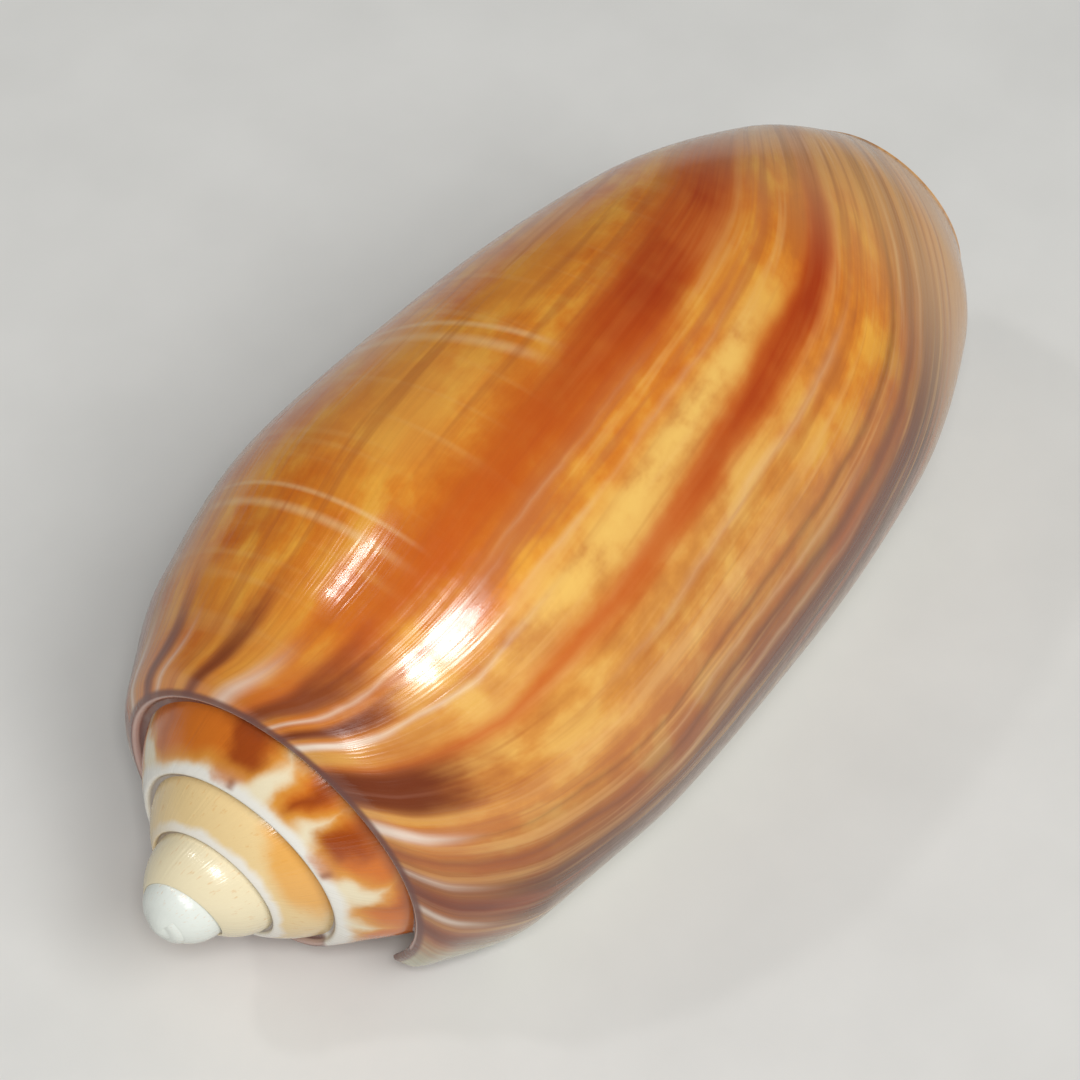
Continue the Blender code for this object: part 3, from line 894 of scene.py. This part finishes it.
# The shoulder: purple-brown pointed flames with pale streaks between them, within 6 mm of the rim.
shoulder_flames = flames(
    line,
    share,
    0.0,
    0.06,
    (
        (-36.0, 3.0, 2.5, 3.0, 0.85),
        (-10.5, 3.0, 4.0, 3.5, 0.75),
        (16.0, 3.5, 5.5, 3.2, 0.7),
        (28.0, 1.8, 3.0, 2.4, 0.9),
        (51.0, 7.5, 7.5, 4.5, 1.0),
        (76.5, 2.5, 2.5, 3.0, 0.35),
        (93.0, 3.5, 3.5, 4.0, 0.8),
        (112.0, 4.0, 5.0, 4.0, 0.8),
        (-66.0, 4.0, 6.0, 4.0, 0.8),
        (-101.0, 5.0, 8.0, 4.0, 0.9),
        (-133.0, 3.0, 6.0, 4.0, 0.8),
        (-165.0, 5.0, 8.0, 4.0, 0.8),
    ),
)
shoulder_streaks = flames(
    line,
    share,
    0.0,
    0.07,
    (
        (-29.0, 1.5, 0.8, 2.4, 0.6),
        (3.0, 3.0, 1.0, 4.0, 0.7),
        (22.5, 0.5, 0.4, 1.4, 0.7),
        (33.5, 1.5, 0.6, 2.0, 1.0),
        (67.0, 3.0, 0.6, 3.0, 0.9),
        (84.5, 1.2, 0.6, 2.4, 0.6),
        (102.0, 2.0, 0.8, 2.6, 0.7),
        (-52.0, 2.5, 1.0, 3.4, 0.7),
        (-84.0, 4.0, 1.2, 4.0, 0.7),
        (-118.0, 3.0, 1.2, 4.0, 0.7),
        (-149.0, 2.5, 1.2, 4.0, 0.7),
    ),
)
ragged_share = swayed(share, ("mottle", 0.04), ("streak", 0.06), ("cloud", 0.05))
skin = coat(skin, "#BC7036", 0.35, (share, 0.11, 0.04))
skin = coat(skin, "#A04E28", 0.6, (shoulder_flames, 0.0, 0.7), (ragged_share, 0.14, 0.06))
skin = coat(skin, "#6A2E1A", 0.9, (shoulder_flames, 0.1, 1.0), (ragged_share, 0.10, 0.035))
at_rim = (ragged_share, 0.07, 0.03)
skin = coat(skin, "#9A6350", 0.3, (shoulder_flames, 0.2, 1.0), at_rim, (grains["streak"], 0.48, 0.66))
skin = coat(skin, "#F0E4D6", 0.75, (shoulder_streaks, 0.0, 1.0), (share, 0.08, 0.01))
# Two long pale lines run on past the shoulder: partly the shell's own pale streaks, partly a painted
# highlight along the growth lines.
long_streaks_and_highlight = flames(line, share, 0.05, 0.3, ((33.0, 0.4, 0.3, 1.6, 1.0), (22.0, 0.3, 0.2, 1.2, 0.8)))
skin = coat(skin, "#F2E4CE", 0.55, (long_streaks_and_highlight, 0.0, 1.0), (share, 0.28, 0.08))

# The front: flames and ground run together into fine tan and pinkish lines. The edge of the lip is pale
# with tan streaks, and tinted grey-green as a painted reflection.
skin = coat(skin, "#DDAA70", 0.72, (share, 0.70, 0.90))
skin = coat(skin, "#8F5834", 0.35, (share, 0.72, 0.88), (grains["streak"], 0.52, 0.34))
lip_place = swayed(angle, ("drift", 10.0), ("streak", 12.0), ("hair", 4.0))
# Painted reflection: a grey-green tint over the lip's pale edge.
skin = coat(skin, "#B9BFA4", 0.8, (lip_place, 101.0, 124.0))
skin = coat(skin, "#A08A68", 0.4, (lip_place, 101.0, 124.0), (grains["streak"], 0.52, 0.34))

# The spire: milky at the tip, then ivory and cream-tan with yellow-orange patches. The last whorl before
# the body has orange-brown blotches with red-brown cores, and a bluish-white line along its rim.
spire_place = swayed(angle, ("patch", 24.0), ("fleck", 6.0))
ragged = swayed(v, ("patch", 0.30), ("fleck", 0.12))
milk = add(enamel, "ShaderNodeRGB").outputs[0]
milk.default_value = linear("#E3E7DF")
spire_skin = coat(milk, "#EADCB8", 1.0, (angle, -1330.0, -1290.0))
spire_skin = coat(spire_skin, "#E8CB94", 1.0, (angle, -960.0, -820.0))
spire_skin = coat(spire_skin, "#D9A05A", 0.35, (grains["speck"], 0.60, 0.74), (ragged, 0.2, 0.4))
yellow_patches = flames(
    spire_place,
    ragged,
    0.2,
    0.8,
    ((-657.0, 12.0, 34.0, 16.0, 1.0), (-860.0, 12.0, 26.0, 16.0, 0.6)),
)
spire_skin = coat(spire_skin, "#E3A040", 0.8, (yellow_patches, 0.0, 1.0), (ragged, 0.12, 0.50))
spire_skin = coat(spire_skin, "#EBDDBC", 1.0, (spire_place, -602.0, -582.0))
blotches = flames(
    spire_place,
    ragged,
    0.3,
    0.8,
    (
        (-382.0, 25.0, 34.0, 11.0, 1.0),
        (-329.0, 5.0, 11.0, 10.0, 1.0),
        (-302.0, 7.0, 13.0, 9.0, 1.0),
        (-273.0, 4.0, 16.0, 11.0, 0.85),
        (-455.0, 20.0, 28.0, 9.0, 1.0),
        (-530.0, 22.0, 34.0, 9.0, 1.0),
        (-244.0, 14.0, 20.0, 8.0, 0.9),
    ),
)
cores = flames(
    spire_place,
    ragged,
    0.3,
    0.8,
    (
        (-362.0, 6.0, 10.0, 8.0, 1.0),
        (-400.0, 2.0, 6.0, 10.0, 0.5),
        (-328.0, 1.0, 5.0, 7.0, 1.0),
        (-306.0, 5.0, 5.0, 8.0, 1.0),
        (-278.0, 2.0, 4.0, 7.0, 0.5),
        (-459.0, 6.0, 12.0, 10.0, 0.9),
        (-536.0, 8.0, 14.0, 10.0, 0.9),
    ),
)
tails = flames(
    spire_place,
    ragged,
    0.0,
    0.5,
    ((-364.0, 5.0, 11.0, 6.0, 1.0), (-300.0, 5.0, 9.0, 5.0, 1.0)),
)
on_last = (spire_place, -602.0, -582.0)
spire_skin = coat(spire_skin, "#DC9A40", 1.0, on_last, (blotches, 0.0, 0.5), (ragged, 0.02, 0.30))
spire_skin = coat(spire_skin, "#CE6F1E", 1.0, on_last, (blotches, 0.2, 0.9), (ragged, 0.12, 0.50))
spire_skin = coat(spire_skin, "#8E380E", 0.85, on_last, (cores, 0.0, 0.9), (ragged, 0.14, 0.45))
spire_skin = coat(spire_skin, "#B5683C", 0.5, on_last, (ragged, 0.74, 0.94), (spire_place, -346.0, -332.0))
spire_skin = coat(spire_skin, "#ECEAE4", 0.85, (ragged, 0.22, 0.06), (angle, -830.0, -720.0))
by_rim = ((ragged, -0.06, 0.10), (ragged, 0.34, 0.16))
spire_skin = coat(spire_skin, "#C9782C", 0.8, on_last, (tails, 0.0, 1.0), *by_rim)
dots = flames(angle, v, 0.0, 1.0, ((-297.0, 1.6, 1.6, 2.4, 1.0), (-357.0, 1.8, 1.8, 2.6, 1.0)))
spire_skin = coat(spire_skin, "#8A5030", 0.6, (dots, 0.0, 1.0), (v, 0.00, 0.06), (v, 0.26, 0.12))
skin = coat(skin, spire_skin, 1.0, (angle, -225.0, -237.0))

# The rim of the body is a purple-brown cord, with a painted pinkish highlight along its inner face. On the
# spire the channel is a thin grey-brown line of painted shadow, which fades out towards the tip. The
# aperture is porcelain white.
skin = coat(skin, "#6A3A30", 0.9, (v, 0.06, 0.01), (angle, -236.0, -228.0))
# Painted highlight: a pinkish line on the inner face of the body's rim.
skin = coat(skin, "#D8B8AC", 0.8, (v, -0.70, -0.50), (v, -0.10, -0.30), (angle, -236.0, -228.0))
# Painted shadow: a grey-brown line in the bottom of the spire's channel.
skin = coat(skin, "#7D675A", 0.7, (v, -0.45, -0.75), (angle, -236.0, -244.0), (angle, -1420.0, -900.0))
skin = coat(skin, "#E9DFCF", 1.0, (inside, 0.1, 0.5))

gloss = add(
    enamel,
    "ShaderNodeMapRange",
    {"Value": grains["speck"], "From Min": 0.3, "From Max": 0.7, "To Min": 0.15, "To Max": 0.25},
)
waves = add(enamel, "ShaderNodeMath", {0: grains["streak"], 1: grains["hair"]}, operation="ADD").outputs[0]
bump = add(enamel, "ShaderNodeBump", {"Height": waves, "Strength": 0.18, "Distance": 0.00012})
surface = add(
    enamel,
    "ShaderNodeBsdfPrincipled",
    {
        "Base Color": skin,
        "Roughness": gloss.outputs[0],
        "IOR": 1.53,
        "Coat Weight": 0.15,
        "Coat Roughness": 0.04,
        "Normal": bump.outputs[0],
    },
)
add(enamel, "ShaderNodeOutputMaterial", {"Surface": surface.outputs[0]})
shell.data.materials.clear()
shell.data.materials.append(enamel)
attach(shell, "root")
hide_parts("shell")

# A plain pale floor, matt, with the faint grain of paper. It is far larger than the view, so that no edge
# of it shows.
bpy.ops.object.select_all(action="DESELECT")
bpy.ops.mesh.primitive_plane_add(size=3.0)
floor = bpy.context.object
floor.name = "floor"
paper = bpy.data.materials.new("matt_paper")
paper.use_nodes = True
paper.node_tree.nodes.clear()
fibres = add(paper, "ShaderNodeTexNoise", {"Scale": 400.0, "Detail": 4.0})
paper_tone = add(paper, "ShaderNodeValToRGB", {0: fibres.outputs[0]})
for stop, (position, colour) in zip(paper_tone.color_ramp.elements, ((0.3, "#D9D8D4"), (0.7, "#DEDDD9"))):
    stop.position = position
    stop.color = linear(colour)
paper_face = add(paper, "ShaderNodeBsdfPrincipled", {"Base Color": paper_tone.outputs[0], "Roughness": 0.7})
add(paper, "ShaderNodeOutputMaterial", {"Surface": paper_face.outputs[0]})
floor.data.materials.append(paper)

# Soft studio light: a softbox near the camera, a smaller one to its left, a wide one on the right, and
# a pale room round them.
LOOK_AT = Vector((0.00025, 0.00077, 0.0092))
for name, towards, far_off, size, power in (
    ("softbox", (-0.41, -0.36, 0.84), 0.60, 0.13, 1.7),
    ("side_box", (-0.27, 0.45, 0.85), 0.60, 0.04, 0.25),
    ("wide_box", (-0.12, -0.62, 0.78), 0.70, 0.35, 2.6),
):
    bpy.ops.object.light_add(type="AREA", location=LOOK_AT + Vector(towards).normalized() * far_off)
    lamp = bpy.context.object
    lamp.name = name
    lamp.data.size = size
    lamp.data.energy = power
    lamp.visible_glossy = name != "wide_box"
    lamp.rotation_euler = Vector(towards).to_track_quat("Z", "Y").to_euler()
room = bpy.data.worlds.new("pale_room")
room.use_nodes = True
room.node_tree.nodes["Background"].inputs["Color"].default_value = linear("#DCE3E6")
room.node_tree.nodes["Background"].inputs["Strength"].default_value = 0.13
bpy.context.scene.world = room
bpy.context.scene.view_settings.view_transform = "Standard"

# The camera, close above the spire's end and a little to the lip's side, with a long lens.
CAMERA_AWAY = 0.2219
FORWARD = Vector((0.4665, 0.3756, -0.8008)).normalized()
bpy.ops.object.camera_add(location=LOOK_AT - FORWARD * CAMERA_AWAY)
camera = bpy.context.object
camera.rotation_euler = FORWARD.to_track_quat("-Z", "Y").to_euler()
camera.data.lens = 139.45
camera.data.sensor_width = 36.0
camera.data.clip_start = 0.01
camera.data.shift_x = -0.0019
camera.data.shift_y = 0.0077
bpy.context.scene.camera = camera
